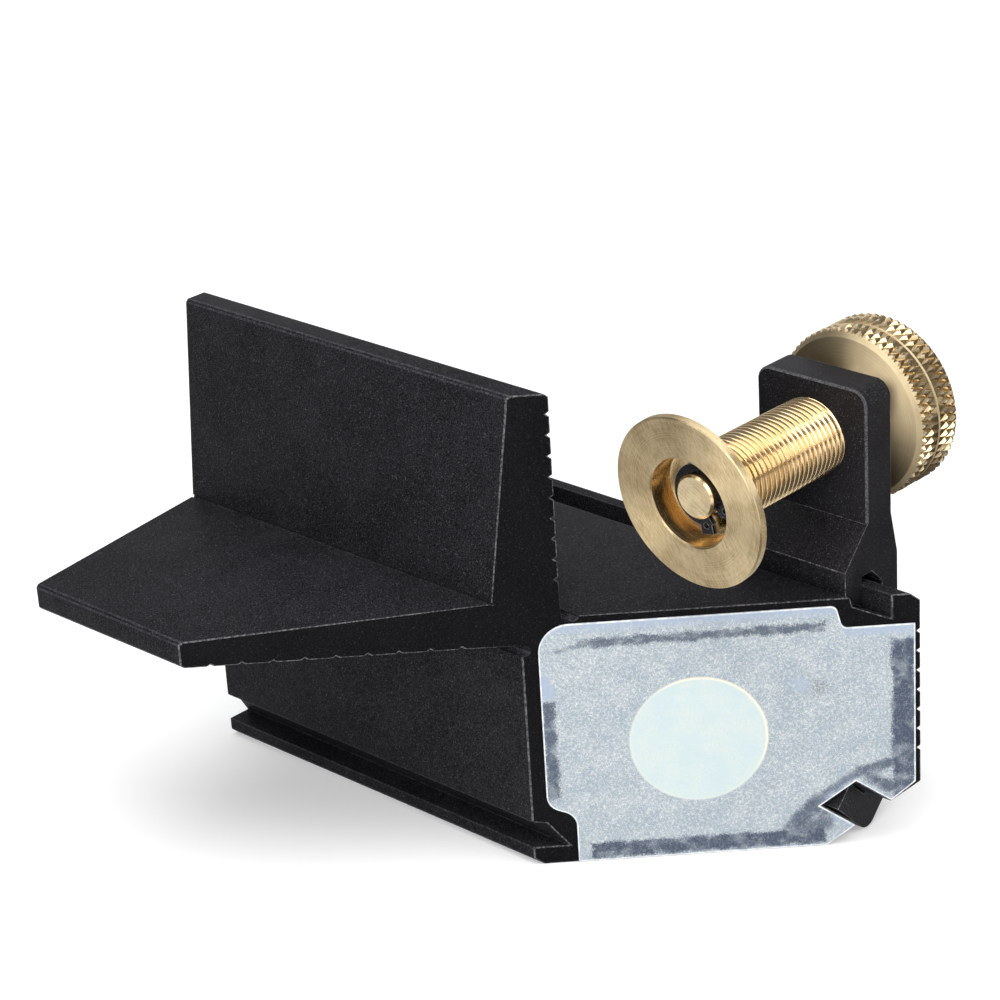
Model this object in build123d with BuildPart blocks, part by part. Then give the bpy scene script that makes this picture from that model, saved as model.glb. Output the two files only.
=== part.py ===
"""Dovetail saw guide: a mitred extrusion whose side clamp slides along a rail.

All sizes are in millimetres. +X runs from the fence to the clamp, +Y along the extrusion
to its square end, and +Z up. Section coordinates (x, z) start at the datum corner where the
table's plane meets the left side's plane; the mitred end passes through that corner too.
The model's own origin is at the bottom of its box, in the middle.
"""

import os
from math import cos, radians, sin, sqrt, tan

from build123d import *

# Guide body: the same outline on both sides of the diagonal z = -x
body_size = 50.2
square_end_y = 82.4
mitre_angle = 45.0
fence_height = 42.8
fence_thickness = 5.1
fence_foot = 3.4
fence_tip_break = 0.5
groove_width = 5.3
groove_draft = 0.4
groove_wall = 1.9
groove_depth = 4.7
lip_width = 3.6
lip_break_width = 1.2
lip_break_height = 1.3
corner_cut = 12.1
notch_width = 6.2
notch_depth = 6.4
corner_relief_radius = 1.15
foot_relief_radius = 0.35

# Grip grooves along the fence, the shelf and the two outer sides
grip_pitch = 3.95
grip_depth = 0.45
grip_first = 7.45
fence_plain_top = 2.0
side_plain_end = 4.0

# Disc magnets and the low-friction film on both cut ends
magnet_diameter = 25.0
magnet_thickness = 5.0
magnet_glue_gap = 0.1
magnet_x = 21.8
magnet_drop = 26.2
film_thickness = 0.25
film_top_margin = 1.4
film_left_margin = 2.0
film_right_margin = 0.7
film_bottom_margin = 0.15
film_corner_radius = 5.6
film_step_before_groove = 1.75
film_step_run = 0.8
film_groove_margin = 1.1
film_foot_x = 5.7
film_foot_rise = 5.0
film_foot_fall = 2.1
film_step_radius = 1.3
film_foot_radius = 3.2
film_notch_margin = 0.25

# Clamp bracket, which slides along the groove, the lip and the diagonal notch
bracket_width = 24.3
bracket_setback = 1.45
slide_clearance = 0.3
foot_height = 4.2
ear_front_x = 48.2
ear_thickness = 7.0
ear_above_screw = 11.05
ear_gusset_height = 11.2
flare_height = 2.9
lip_bridge_gap = 1.75
lip_bridge_apex = 3.1
side_gap = 2.2
leg_thickness = 4.6
corner_gap = 0.6
hook_thickness = 6.36
tongue_clearance = 0.45
tongue_end_gap = 1.15
hook_radius = 2.6
leg_corner_radius = 2.0
ear_corner_radius = 3.0
ear_front_break = 0.4

# Clamp screw, one turned piece with its knob
screw_height = 25.45
thread_diameter = 14.8
thread_pitch = 1.28
thread_height_ratio = 0.6134
shank_clearance = 0.05
spigot_diameter = 8.1
spigot_overhang = 1.6
spigot_break = 0.4
shoulder_break = 0.8
knob_gap = 3.8
knob_diameter = 32.4
knob_width = 11.6
knob_chamfer = 0.7
knurl_depth = 0.5
knurl_groove_width = 0.8
knurl_groove_depth = 0.3

# Pressure pad, which hangs loosely between the screw's shoulder and the retaining ring
jaw_opening = 8.9
pad_diameter = 32.4
pad_rim = 1.5
pad_recess_diameter = 16.8
pad_recess_depth = 5.1
pad_web = 1.2
pad_hub_wall = 1.0
pad_bore_clearance = 0.45
pad_play = 0.9
pad_tilt = 6.1
pad_tilt_lean = 12.6
pad_rim_break = 0.25

# Retaining ring in the spigot's groove
ring_thickness = 1.0
ring_groove_depth = 0.5
ring_outer_diameter = 11.4
ring_fit = 0.05
ring_gap_angle = -132.0
ring_lug_spread = 30.0
ring_lug_width = 2.6
ring_lug_reach = 7.3
ring_lug_hole_radius = 0.55
ring_lug_hole_place = 5.7

# Lock screw through the bracket's outer leg
lock_drop = 11.75
lock_shank_diameter = 6.0
lock_tip_gap = 0.3
lock_head_gap = 0.3
lock_head_diameter = 16.0
lock_head_width = 6.7
lock_head_chamfer = 0.8

# Places that follow from the sizes above
root_two = sqrt(2)
mitre_slope = tan(radians(mitre_angle))
mitre_cos = cos(radians(mitre_angle))
mitre_sin = sin(radians(mitre_angle))
lip_x = body_size - lip_width
table_edge = lip_x - groove_width
corner_start = body_size - corner_cut
corner_reach = (body_size + corner_start) / root_two
notch_floor = corner_reach - notch_depth
floor_slope = (groove_depth - groove_wall) / (groove_width - groove_draft)

foot_x = table_edge + slide_clearance
ear_back_x = ear_front_x + ear_thickness
leg_inner_x = body_size + side_gap
leg_outer_x = leg_inner_x + leg_thickness
bracket_near_y = bracket_setback - foot_x * mitre_slope
bracket_far_y = bracket_near_y + bracket_width
screw_y = (bracket_near_y + bracket_far_y) / 2

pad_face_x = fence_thickness + jaw_opening
web_front_x = pad_face_x + pad_recess_depth
pivot_x = web_front_x + pad_web / 2
shoulder_x = web_front_x + pad_web + pad_play
ring_back_x = web_front_x - pad_play
ring_front_x = ring_back_x - ring_thickness
spigot_end_x = ring_front_x - spigot_overhang
knob_face_x = ear_back_x + knob_gap
knob_end_x = knob_face_x + knob_width

shank_radius = thread_diameter / 2 - thread_height_ratio * thread_pitch
spigot_radius = spigot_diameter / 2
groove_radius = spigot_radius - ring_groove_depth
knob_radius = knob_diameter / 2 - knurl_depth

centre_x = (knob_end_x - fence_height) / 2
centre_y = (square_end_y + film_thickness - body_size * mitre_slope) / 2


def section_plane(y):
    """Plane across the extrusion at y, with x to the right and z up."""
    return Plane(
        origin=(-centre_x, y - centre_y, body_size), x_dir=(1, 0, 0), z_dir=(0, -1, 0)
    )


def turning_plane(y, z):
    """Plane of a turned piece's half profile, about the X line at (y, z)."""
    return Plane(
        origin=(-centre_x, y - centre_y, z + body_size), x_dir=(1, 0, 0), z_dir=(0, -1, 0)
    )


def cross_plane(x, y, z):
    """Plane across an X line at (x, y, z), with y to the right and z up."""
    return Plane(
        origin=(x - centre_x, y - centre_y, z + body_size), x_dir=(0, 1, 0), z_dir=(1, 0, 0)
    )


def turning_axis(y, z):
    """The X line at (y, z)."""
    return Axis((-centre_x, y - centre_y, z + body_size), (1, 0, 0))


def across_diagonal(points):
    """The points mirrored in the body's diagonal, in the opposite order."""
    return [(-z, -x) for x, z in reversed(points)]


def on_diagonal(reach, offset):
    """Section point at a distance along the diagonal and an offset up from it."""
    return ((reach + offset) / root_two, (offset - reach) / root_two)


def groove_floor(x):
    """Height of a line parallel to the groove's floor, one slide clearance above it."""
    along = x - table_edge - groove_draft
    return slide_clearance * sqrt(1 + floor_slope**2) - groove_wall - floor_slope * along


def grip_places(length):
    """Distances of the grip grooves that fit in a length."""
    count = int((length - grip_first) / grip_pitch) + 1
    return [grip_first + grip_pitch * index for index in range(count)]


def film_outline(stretch):
    """Corners of the film on an end face, its x stretched along a mitred face."""
    left = film_left_margin
    top = -film_top_margin
    right = body_size - film_right_margin
    bottom = film_bottom_margin - body_size
    step_x = table_edge - film_step_before_groove
    step_z = -groove_depth - film_groove_margin
    corner = body_size - corner_cut - film_bottom_margin
    notch_side = notch_width / 2 + film_notch_margin
    notch_end = notch_floor - film_notch_margin
    mouth = corner_reach - film_notch_margin
    points = [
        (left, top),
        (step_x, top),
        (step_x + film_step_run, step_z),
        (right, step_z),
        (right, -corner),
        on_diagonal(mouth, notch_side),
        on_diagonal(notch_end, notch_side),
        on_diagonal(notch_end, -notch_side),
        on_diagonal(mouth, -notch_side),
        (corner, bottom),
        (film_foot_x, bottom),
        (film_foot_x, bottom + film_foot_rise + groove_depth),
        (left, bottom + film_foot_rise + groove_depth + film_foot_fall),
    ]
    return [(x * stretch, z) for x, z in points]


mitre_plane = Plane(
    origin=(-centre_x, -centre_y, body_size),
    x_dir=(mitre_cos, -mitre_sin, 0),
    z_dir=(-mitre_sin, -mitre_cos, 0),
)
square_plane = section_plane(square_end_y)

# Section of the guide body above its diagonal, from the fence's foot to the corner cut
upper_outline = [
    (-fence_foot, fence_foot),
    (0, fence_height),
    (fence_thickness, fence_height),
    (fence_thickness, 0),
    (table_edge, 0),
    (table_edge + groove_draft, -groove_wall),
    (lip_x, -groove_depth),
    (lip_x, 0),
    (body_size - lip_break_width, 0),
    (body_size, -lip_break_height),
    (body_size, -corner_start),
]
fence_grips = [(fence_thickness, z) for z in grip_places(fence_height - fence_plain_top)]
side_grips = [(body_size, -z) for z in grip_places(corner_start - side_plain_end)]
grips = fence_grips + side_grips
fence_tips = upper_outline[1:3] + across_diagonal(upper_outline[1:3])
corner_reliefs = [(fence_thickness + corner_relief_radius, 0)]
grip_side = grip_depth * root_two
body_length = square_end_y + (body_size + fence_height) * mitre_slope

with BuildPart() as guide_body:
    with BuildSketch(square_plane) as body_section:
        with BuildLine():
            Polyline(*upper_outline, *across_diagonal(upper_outline)[:-1], close=True)
        make_face()
        for tip in fence_tips:
            corner = body_section.vertices().sort_by_distance((*tip, 0))[0]
            chamfer(corner, fence_tip_break)
        with Locations(*grips, *across_diagonal(grips)):
            Rectangle(grip_side, grip_side, rotation=45, mode=Mode.SUBTRACT)
        with Locations(*corner_reliefs, *across_diagonal(corner_reliefs)):
            Circle(corner_relief_radius, mode=Mode.SUBTRACT)
        with Locations((-fence_foot, fence_foot)):
            Circle(foot_relief_radius, mode=Mode.SUBTRACT)
        with Locations(on_diagonal(corner_reach, 0)):
            Rectangle(2 * notch_depth, notch_width, rotation=-45, mode=Mode.SUBTRACT)
    extrude(amount=body_length)
    split(bisect_by=mitre_plane, keep=Keep.BOTTOM)
    with BuildSketch(mitre_plane):
        with Locations((magnet_x / mitre_cos, -magnet_drop)):
            Circle(magnet_diameter / 2 + magnet_glue_gap)
    extrude(amount=-magnet_thickness - magnet_glue_gap, mode=Mode.SUBTRACT)
    with BuildSketch(square_plane):
        with Locations((magnet_x, -magnet_drop)):
            Circle(magnet_diameter / 2 + magnet_glue_gap)
    extrude(amount=magnet_thickness + magnet_glue_gap, mode=Mode.SUBTRACT)
guide_body.part.label = "guide_body"

# Disc magnets, flush with the two cut ends
with BuildPart() as mitre_face_magnet:
    with BuildSketch(mitre_plane):
        with Locations((magnet_x / mitre_cos, -magnet_drop)):
            Circle(magnet_diameter / 2)
    extrude(amount=-magnet_thickness)
mitre_face_magnet.part.label = "mitre_face_magnet"

with BuildPart() as square_face_magnet:
    with BuildSketch(square_plane):
        with Locations((magnet_x, -magnet_drop)):
            Circle(magnet_diameter / 2)
    extrude(amount=magnet_thickness)
square_face_magnet.part.label = "square_face_magnet"


film_rounds = {
    0: film_corner_radius,
    1: film_step_radius,
    2: film_step_radius,
    11: film_foot_radius,
    12: film_foot_radius,
}


def film(plane, stretch, thickness):
    """One sheet of film on an end face."""
    corners = film_outline(stretch)
    with BuildPart() as sheet:
        with BuildSketch(plane) as outline:
            with BuildLine():
                Polyline(*corners, close=True)
            make_face()
            for place, radius in film_rounds.items():
                corner = outline.vertices().sort_by_distance((*corners[place], 0))[0]
                fillet(corner, radius)
        extrude(amount=thickness)
    return sheet


mitre_face_film = film(mitre_plane, 1 / mitre_cos, film_thickness)
mitre_face_film.part.label = "mitre_face_film"
square_face_film = film(square_plane, 1, -film_thickness)
square_face_film.part.label = "square_face_film"

# Clamp bracket: a leg in the groove, a bridge over the lip, an outer leg and a hooked tongue
hook_reach = corner_reach + corner_gap + hook_thickness
inner_reach = corner_reach + corner_gap
tongue_half = notch_width / 2 - tongue_clearance
tongue_reach = notch_floor + tongue_end_gap
bridge_x = lip_x - slide_clearance
apex_x = bridge_x + lip_bridge_apex
ear_top = screw_height + ear_above_screw
leg_corner = (leg_outer_x, leg_outer_x - hook_reach * root_two)
hook_corner = on_diagonal(hook_reach, -tongue_half)
toe_x = foot_x + groove_draft
bracket_outline = [
    (foot_x, 0),
    (foot_x, foot_height),
    (ear_front_x, ear_gusset_height),
    (ear_front_x, ear_top),
    (ear_back_x, ear_top),
    (ear_back_x, ear_gusset_height),
    (leg_outer_x, flare_height),
    leg_corner,
    hook_corner,
    on_diagonal(tongue_reach, -tongue_half),
    on_diagonal(tongue_reach, tongue_half),
    on_diagonal(inner_reach, tongue_half),
    (leg_inner_x, leg_inner_x - inner_reach * root_two),
    (leg_inner_x, lip_bridge_gap + apex_x - leg_inner_x),
    (apex_x, lip_bridge_gap),
    (bridge_x, lip_bridge_gap),
    (bridge_x, groove_floor(bridge_x)),
    (toe_x, groove_floor(toe_x)),
]

with BuildPart() as clamp_bracket:
    with BuildSketch(section_plane(bracket_far_y)) as bracket_section:
        with BuildLine():
            Polyline(*bracket_outline, close=True)
        make_face()
        fillet(bracket_section.vertices().sort_by_distance((*hook_corner, 0))[0], hook_radius)
        fillet(bracket_section.vertices().sort_by_distance((*leg_corner, 0))[0], leg_corner_radius)
    extrude(amount=bracket_width)
    ear_ends = clamp_bracket.edges().filter_by(Axis.X).group_by(Axis.Z)[-1]
    fillet(ear_ends, ear_corner_radius)
    ear_face = clamp_bracket.faces().filter_by(Axis.X).sort_by(Axis.Z)[-2:].sort_by(Axis.X)[0]
    chamfer(ear_face.edges().sort_by(Axis.Z)[1:], ear_front_break)
    with BuildSketch(cross_plane(ear_front_x, screw_y, screw_height)):
        Circle(shank_radius + shank_clearance)
    extrude(amount=ear_thickness, mode=Mode.SUBTRACT)
    with BuildSketch(cross_plane(leg_inner_x, screw_y, -lock_drop)):
        Circle(lock_shank_diameter / 2 + shank_clearance)
    extrude(amount=leg_thickness, mode=Mode.SUBTRACT)
clamp_bracket.part.label = "clamp_bracket"

# Clamp screw: spigot with a ring groove, shank at the thread's root, and a knob
knob_middle_x = (knob_face_x + knob_end_x) / 2
knurl_half = knurl_groove_width / 2
screw_profile = [
    (spigot_end_x, 0),
    (spigot_end_x, spigot_radius - spigot_break),
    (spigot_end_x + spigot_break, spigot_radius),
    (ring_front_x - ring_fit, spigot_radius),
    (ring_front_x - ring_fit, groove_radius),
    (ring_back_x + ring_fit, groove_radius),
    (ring_back_x + ring_fit, spigot_radius),
    (shoulder_x, spigot_radius),
    (shoulder_x, shank_radius - shoulder_break),
    (shoulder_x + shoulder_break, shank_radius),
    (knob_face_x, shank_radius),
    (knob_face_x, knob_radius - knob_chamfer),
    (knob_face_x + knob_chamfer, knob_radius),
    (knob_middle_x - knurl_half, knob_radius),
    (knob_middle_x, knob_radius - knurl_groove_depth),
    (knob_middle_x + knurl_half, knob_radius),
    (knob_end_x - knob_chamfer, knob_radius),
    (knob_end_x, knob_radius - knob_chamfer),
    (knob_end_x, 0),
]
with BuildPart() as clamp_screw:
    with BuildSketch(turning_plane(screw_y, screw_height)):
        with BuildLine():
            Polyline(*screw_profile, close=True)
        make_face()
    revolve(axis=turning_axis(screw_y, screw_height))
clamp_screw.part.label = "clamp_screw"

# Pressure pad, drawn about its own axis, which leans on the pivot in its web
pad_radius = pad_diameter / 2
pad_recess_radius = pad_recess_diameter / 2
pad_hub_radius = pad_recess_radius + pad_hub_wall
pad_bore_radius = spigot_radius + pad_bore_clearance
lean = radians(pad_tilt_lean)
tilt = radians(pad_tilt)
pad_normal = (cos(tilt), -sin(tilt) * sin(lean), sin(tilt) * cos(lean))
pad_plane = Plane(
    origin=(pivot_x - centre_x, screw_y - centre_y, screw_height + body_size),
    x_dir=pad_normal,
    z_dir=(0, -cos(lean), -sin(lean)),
)
face_at = -pad_recess_depth - pad_web / 2
pad_profile = [
    (face_at, pad_recess_radius),
    (face_at, pad_radius - pad_rim_break),
    (face_at + pad_rim_break, pad_radius),
    (face_at + pad_rim, pad_radius),
    (pad_web / 2, pad_hub_radius),
    (pad_web / 2, pad_bore_radius),
    (-pad_web / 2, pad_bore_radius),
    (-pad_web / 2, pad_recess_radius),
]
with BuildPart() as pressure_pad:
    with BuildSketch(pad_plane):
        with BuildLine():
            Polyline(*pad_profile, close=True)
        make_face()
    revolve(axis=Axis(pad_plane.origin, pad_plane.x_dir))
pressure_pad.part.label = "pressure_pad"

# Retaining ring, with two drilled lugs beside its gap
ring_outer = ring_outer_diameter / 2
ring_inner = groove_radius + ring_fit
ring_middle = (ring_outer + ring_inner) / 2
lug_angles = (ring_gap_angle - ring_lug_spread, ring_gap_angle + ring_lug_spread)
lug_length = ring_lug_reach - ring_middle
with BuildPart() as retaining_ring:
    with BuildSketch(cross_plane(ring_front_x, screw_y, screw_height)):
        Circle(ring_outer)
        for angle in lug_angles:
            with PolarLocations(ring_middle + lug_length / 2, 1, start_angle=angle):
                Rectangle(lug_length, ring_lug_width)
        Circle(ring_inner, mode=Mode.SUBTRACT)
        with PolarLocations(ring_middle, 1, start_angle=ring_gap_angle):
            Rectangle(2 * ring_middle, ring_lug_width, mode=Mode.SUBTRACT)
        for angle in lug_angles:
            with PolarLocations(ring_lug_hole_place, 1, start_angle=angle):
                Circle(ring_lug_hole_radius, mode=Mode.SUBTRACT)
    extrude(amount=ring_thickness)
retaining_ring.part.label = "retaining_ring"

# Lock screw, whose tip stops the bracket on the rail
lock_tip_x = body_size + lock_tip_gap
lock_head_x = leg_outer_x + lock_head_gap
lock_end_x = lock_head_x + lock_head_width
lock_radius = lock_head_diameter / 2
lock_profile = [
    (lock_tip_x, 0),
    (lock_tip_x, lock_shank_diameter / 2),
    (lock_head_x, lock_shank_diameter / 2),
    (lock_head_x, lock_radius - lock_head_chamfer),
    (lock_head_x + lock_head_chamfer, lock_radius),
    (lock_end_x - lock_head_chamfer, lock_radius),
    (lock_end_x, lock_radius - lock_head_chamfer),
    (lock_end_x, 0),
]
with BuildPart() as lock_screw:
    with BuildSketch(turning_plane(screw_y, -lock_drop)):
        with BuildLine():
            Polyline(*lock_profile, close=True)
        make_face()
    revolve(axis=turning_axis(screw_y, -lock_drop))
lock_screw.part.label = "lock_screw"

pieces = [
    guide_body,
    mitre_face_magnet,
    square_face_magnet,
    mitre_face_film,
    square_face_film,
    clamp_bracket,
    clamp_screw,
    pressure_pad,
    retaining_ring,
    lock_screw,
]
os.makedirs("parts", exist_ok=True)
for piece in pieces:
    export_step(piece.part, f"parts/{piece.part.label}.step")
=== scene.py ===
"""Dovetail saw guide: finishes, screw thread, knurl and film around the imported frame.

Lengths are metres. The datum corner is where the table's plane, the left side's plane and
the mitred end meet; sizes along the section are measured from it.
"""

import logging
import math
from dataclasses import dataclass, field, replace
from enum import Enum
from typing import Callable, Optional, Sequence

import bpy
from mathutils import Matrix, Vector


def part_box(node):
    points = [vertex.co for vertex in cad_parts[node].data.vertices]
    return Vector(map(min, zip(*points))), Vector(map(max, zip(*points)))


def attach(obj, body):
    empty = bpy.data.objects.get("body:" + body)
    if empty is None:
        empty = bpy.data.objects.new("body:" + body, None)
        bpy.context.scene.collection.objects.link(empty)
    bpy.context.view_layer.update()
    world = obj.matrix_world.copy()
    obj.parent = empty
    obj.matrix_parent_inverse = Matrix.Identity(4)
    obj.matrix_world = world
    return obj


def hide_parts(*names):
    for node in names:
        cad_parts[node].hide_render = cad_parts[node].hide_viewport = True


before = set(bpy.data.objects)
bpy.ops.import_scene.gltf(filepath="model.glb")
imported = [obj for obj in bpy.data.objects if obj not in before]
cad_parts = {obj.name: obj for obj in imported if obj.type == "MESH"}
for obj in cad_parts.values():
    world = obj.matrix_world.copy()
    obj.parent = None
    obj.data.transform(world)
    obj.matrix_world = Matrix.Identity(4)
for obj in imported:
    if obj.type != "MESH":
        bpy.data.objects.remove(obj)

LOG = logging.getLogger("saw_guide")
MM = 0.001
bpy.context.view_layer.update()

Colour = tuple[float, float, float]
Piece = bpy.types.Object
Material = bpy.types.Material
Socket = bpy.types.NodeSocket
Face = bpy.types.MeshPolygon
Profile = Sequence[tuple[float, float]]


class Body(Enum):
    """Bodies that pieces made here ride on."""

    GUIDE = "guide"
    BRACKET = "bracket"
    RING = "ring"
    SCREW = "screw"
    PAD = "pad"


class Slot(Enum):
    """Names of the record's finishes, one given with each piece made here."""

    GUIDE = "guide_anodised"
    BRACKET = "bracket_anodised"
    FILM = "film_plastic"
    SCREW = "screw_brass"
    PAD = "pad_brass"
    RING = "ring_black"


@dataclass(frozen=True)
class Datum:
    """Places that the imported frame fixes. The section's square is body_size wide."""

    body_size: float = 50.2 * MM

    def corner(self) -> Vector:
        """The datum corner, on the table, the left side and the mitred end."""
        low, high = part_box("guide_body")
        return Vector((high.x - self.body_size, low.y + self.body_size, self.body_size))

    def at(self, x: float, y: float, z: float) -> Vector:
        """A point given in millimetres from the datum corner.

        Args:
            x: Distance from the left side's plane.
            y: Distance along the extrusion.
            z: Height above the table.

        Returns:
            The point in the frame.
        """
        return self.corner() + Vector((x, y, z)) * MM

    def screw_axis(self) -> Vector:
        """A point on the clamp screw's axis, at the knob's outer end."""
        low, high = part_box("clamp_screw")
        return Vector((high.x, (low.y + high.y) / 2, (low.z + high.z) / 2))


DATUM = Datum()
LOCK_SCREW_AT = (57, -28, -11.75)


class Shader:
    """A material's node tree, with the few nodes that the finishes use."""

    def __init__(self, name: str) -> None:
        """Starts an empty material with a principled shader."""
        self.material = bpy.data.materials.new(name)
        self.material.use_nodes = True
        self.tree = self.material.node_tree
        self.principled = self.tree.nodes["Principled BSDF"]
        self.place = self.node("ShaderNodeTexCoord").outputs["Object"]

    def node(self, kind: str, **settings: object) -> bpy.types.Node:
        """Adds a node and sets its properties."""
        made = self.tree.nodes.new(kind)
        for key, value in settings.items():
            setattr(made, key, value)
        return made

    def link(self, source: Socket, target: Socket) -> None:
        """Joins two sockets."""
        self.tree.links.new(source, target)

    def feed(self, value: object, target: Socket) -> None:
        """Links a socket, or sets a plain value, on a target socket."""
        if isinstance(value, Socket):
            self.link(value, target)
        else:
            target.default_value = value

    def set(self, name: str, value: object) -> None:
        """Sets or links one of the principled shader's sockets."""
        self.feed(value, self.principled.inputs[name])

    def math(self, operation: str, first: object, second: object = 0.0, clamp: bool = False) -> Socket:
        """A Math node's result."""
        made = self.node("ShaderNodeMath", operation=operation, use_clamp=clamp)
        self.feed(first, made.inputs[0])
        self.feed(second, made.inputs[1])
        return made.outputs[0]

    def vector(self, operation: str, first: object, second: object = (0, 0, 0)) -> Socket:
        """A Vector Math node's vector result, or its value where it has one."""
        made = self.node("ShaderNodeVectorMath", operation=operation)
        self.feed(first, made.inputs[0])
        if operation == "SCALE":
            self.feed(second, made.inputs["Scale"])
        elif operation != "LENGTH":
            self.feed(second, made.inputs[1])
        scalar = operation in ("LENGTH", "DOT_PRODUCT", "DISTANCE")
        return made.outputs["Value" if scalar else "Vector"]

    def noise(
        self,
        grain: float,
        detail: float = 2.0,
        place: Optional[Socket] = None,
        roughness: float = 0.5,
    ) -> Socket:
        """Noise whose features are about grain metres across."""
        made = self.node("ShaderNodeTexNoise")
        self.link(place or self.place, made.inputs["Vector"])
        made.inputs["Scale"].default_value = 1 / grain
        made.inputs["Detail"].default_value = detail
        made.inputs["Roughness"].default_value = roughness
        return made.outputs["Fac"]

    def ramp(
        self,
        value: Socket,
        low: float,
        high: float,
        out_low: float = 0.0,
        out_high: float = 1.0,
    ) -> Socket:
        """A value mapped smoothly from one range to another."""
        made = self.node("ShaderNodeMapRange", interpolation_type="SMOOTHSTEP")
        self.link(value, made.inputs["Value"])
        sockets = ("From Min", "From Max", "To Min", "To Max")
        for key, number in zip(sockets, (low, high, out_low, out_high)):
            made.inputs[key].default_value = number
        return made.outputs["Result"]

    def spread(self, value: Socket, low: float, high: float) -> Socket:
        """Noise mapped from its usual range of 0.3 to 0.7."""
        return self.ramp(value, 0.3, 0.7, low, high)

    def join(self, *parts: object) -> Socket:
        """A vector put together from its first components."""
        made = self.node("ShaderNodeCombineXYZ")
        for part, target in zip(parts, made.inputs):
            self.feed(part, target)
        return made.outputs[0]

    def turned(self, place: Socket, axis: str, angle: float) -> Socket:
        """A place turned about an axis through the origin."""
        made = self.node("ShaderNodeVectorRotate", rotation_type=f"{axis}_AXIS")
        self.link(place, made.inputs["Vector"])
        made.inputs["Angle"].default_value = angle
        return made.outputs[0]

    def from_axis(self, centre: Vector) -> tuple[Socket, ...]:
        """Places about an X line.

        Args:
            centre: A point on the line.

        Returns:
            The offset from the point, the offset from the line, and the distance from the line.
        """
        centred = self.vector("SUBTRACT", self.place, tuple(centre))
        around = self.vector("MULTIPLY", centred, (0, 1, 1))
        return centred, around, self.vector("LENGTH", around)

    def mix(self, share: object, first: object, second: object) -> Socket:
        """Two colours mixed by a share."""
        made = self.node("ShaderNodeMix", data_type="RGBA")
        self.feed(share, made.inputs[0])
        for value, target in ((first, made.inputs[6]), (second, made.inputs[7])):
            self.feed((*value, 1.0) if isinstance(value, tuple) else value, target)
        return made.outputs[2]

    def across_rings(self, around: Socket) -> Socket:
        """The direction that lies in the surface and crosses rings about an X line.

        Args:
            around: The offset from the X line.

        Returns:
            The unit tangent.
        """
        normal = self.node("ShaderNodeNewGeometry").outputs["Normal"]
        along_ring = self.vector("CROSS_PRODUCT", (1, 0, 0), around)
        return self.vector("NORMALIZE", self.vector("CROSS_PRODUCT", normal, along_ring))

    def bump(self, height: Socket, depth: float) -> Socket:
        """A bumped normal."""
        made = self.node("ShaderNodeBump")
        made.inputs["Distance"].default_value = depth
        self.link(height, made.inputs["Height"])
        return made.outputs["Normal"]


@dataclass(frozen=True)
class Finish:
    """A named finish, which is painted on an empty material."""

    name: str

    def paint(self, shader: Shader) -> None:
        """Wires the finish.

        Args:
            shader: The empty material's nodes.
        """
        raise NotImplementedError

    def build(self) -> Material:
        """Makes the material."""
        shader = Shader(self.name)
        self.paint(shader)
        return shader.material


@dataclass(frozen=True)
class BlastedAnodise(Finish):
    """Bead-blasted black anodised aluminium: fine pits, a faint violet cast and light specks."""

    name: str = "black_anodise"
    dark: Colour = (0.0046, 0.0046, 0.0058)
    light: Colour = (0.0290, 0.0280, 0.0320)
    grain: float = 0.23 * MM
    speck: Colour = (0.075, 0.075, 0.083)
    roughness: float = 0.5
    gloss: float = 0.04
    pit_depth: float = 0.02 * MM

    def paint(self, shader: Shader) -> None:
        """Wires the finish."""
        pits = shader.noise(self.grain, detail=3.0, roughness=0.6)
        clouds = shader.noise(9 * MM, detail=3.0)
        tone = shader.math("ADD", shader.ramp(pits, 0.42, 0.62), shader.spread(clouds, -0.1, 0.1))
        shade = shader.mix(tone, self.dark, self.light)
        specks = shader.ramp(shader.noise(0.30 * MM, detail=1.0), 0.65, 0.73)
        shader.set("Base Color", shader.mix(specks, shade, self.speck))
        shader.set("Roughness", shader.spread(pits, self.roughness - 0.05, self.roughness + 0.07))
        shader.set("Specular IOR Level", self.gloss)
        shader.set("Normal", shader.bump(pits, self.pit_depth))


@dataclass(frozen=True)
class BrassTone:
    """Colours of one brass."""

    pale: Colour = (0.82, 0.65, 0.40)
    deep: Colour = (0.62, 0.44, 0.21)


@dataclass(frozen=True)
class TurnedBrass(Finish):
    """Brass with fine rings left by the lathe, about an X line."""

    centre: Vector
    tone: BrassTone = BrassTone()
    ring_grain: float = 0.16 * MM
    roughness: float = 0.24
    ring_depth: float = 0.006 * MM
    contrast: float = 0.18
    stretch: float = 0.55

    def paint(self, shader: Shader) -> None:
        """Wires the finish."""
        centred, around, radius = shader.from_axis(self.centre)
        line = shader.join(radius, shader.vector("DOT_PRODUCT", centred, (1, 0, 0)))
        rings = shader.noise(self.ring_grain, detail=3.0, place=line, roughness=0.7)
        stains = shader.noise(3.5 * MM, detail=4.0)
        drawn = shader.spread(rings, -self.contrast, self.contrast)
        share = shader.math("ADD", drawn, shader.spread(stains, 0.15, 0.55))
        shader.set("Base Color", shader.mix(share, self.tone.pale, self.tone.deep))
        shader.set("Metallic", 1.0)
        shader.set("Roughness", shader.spread(rings, self.roughness - 0.05, self.roughness + 0.08))
        shader.set("Anisotropic", self.stretch)
        shader.set("Tangent", shader.across_rings(around))
        shader.set("Normal", shader.bump(rings, self.ring_depth))


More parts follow.
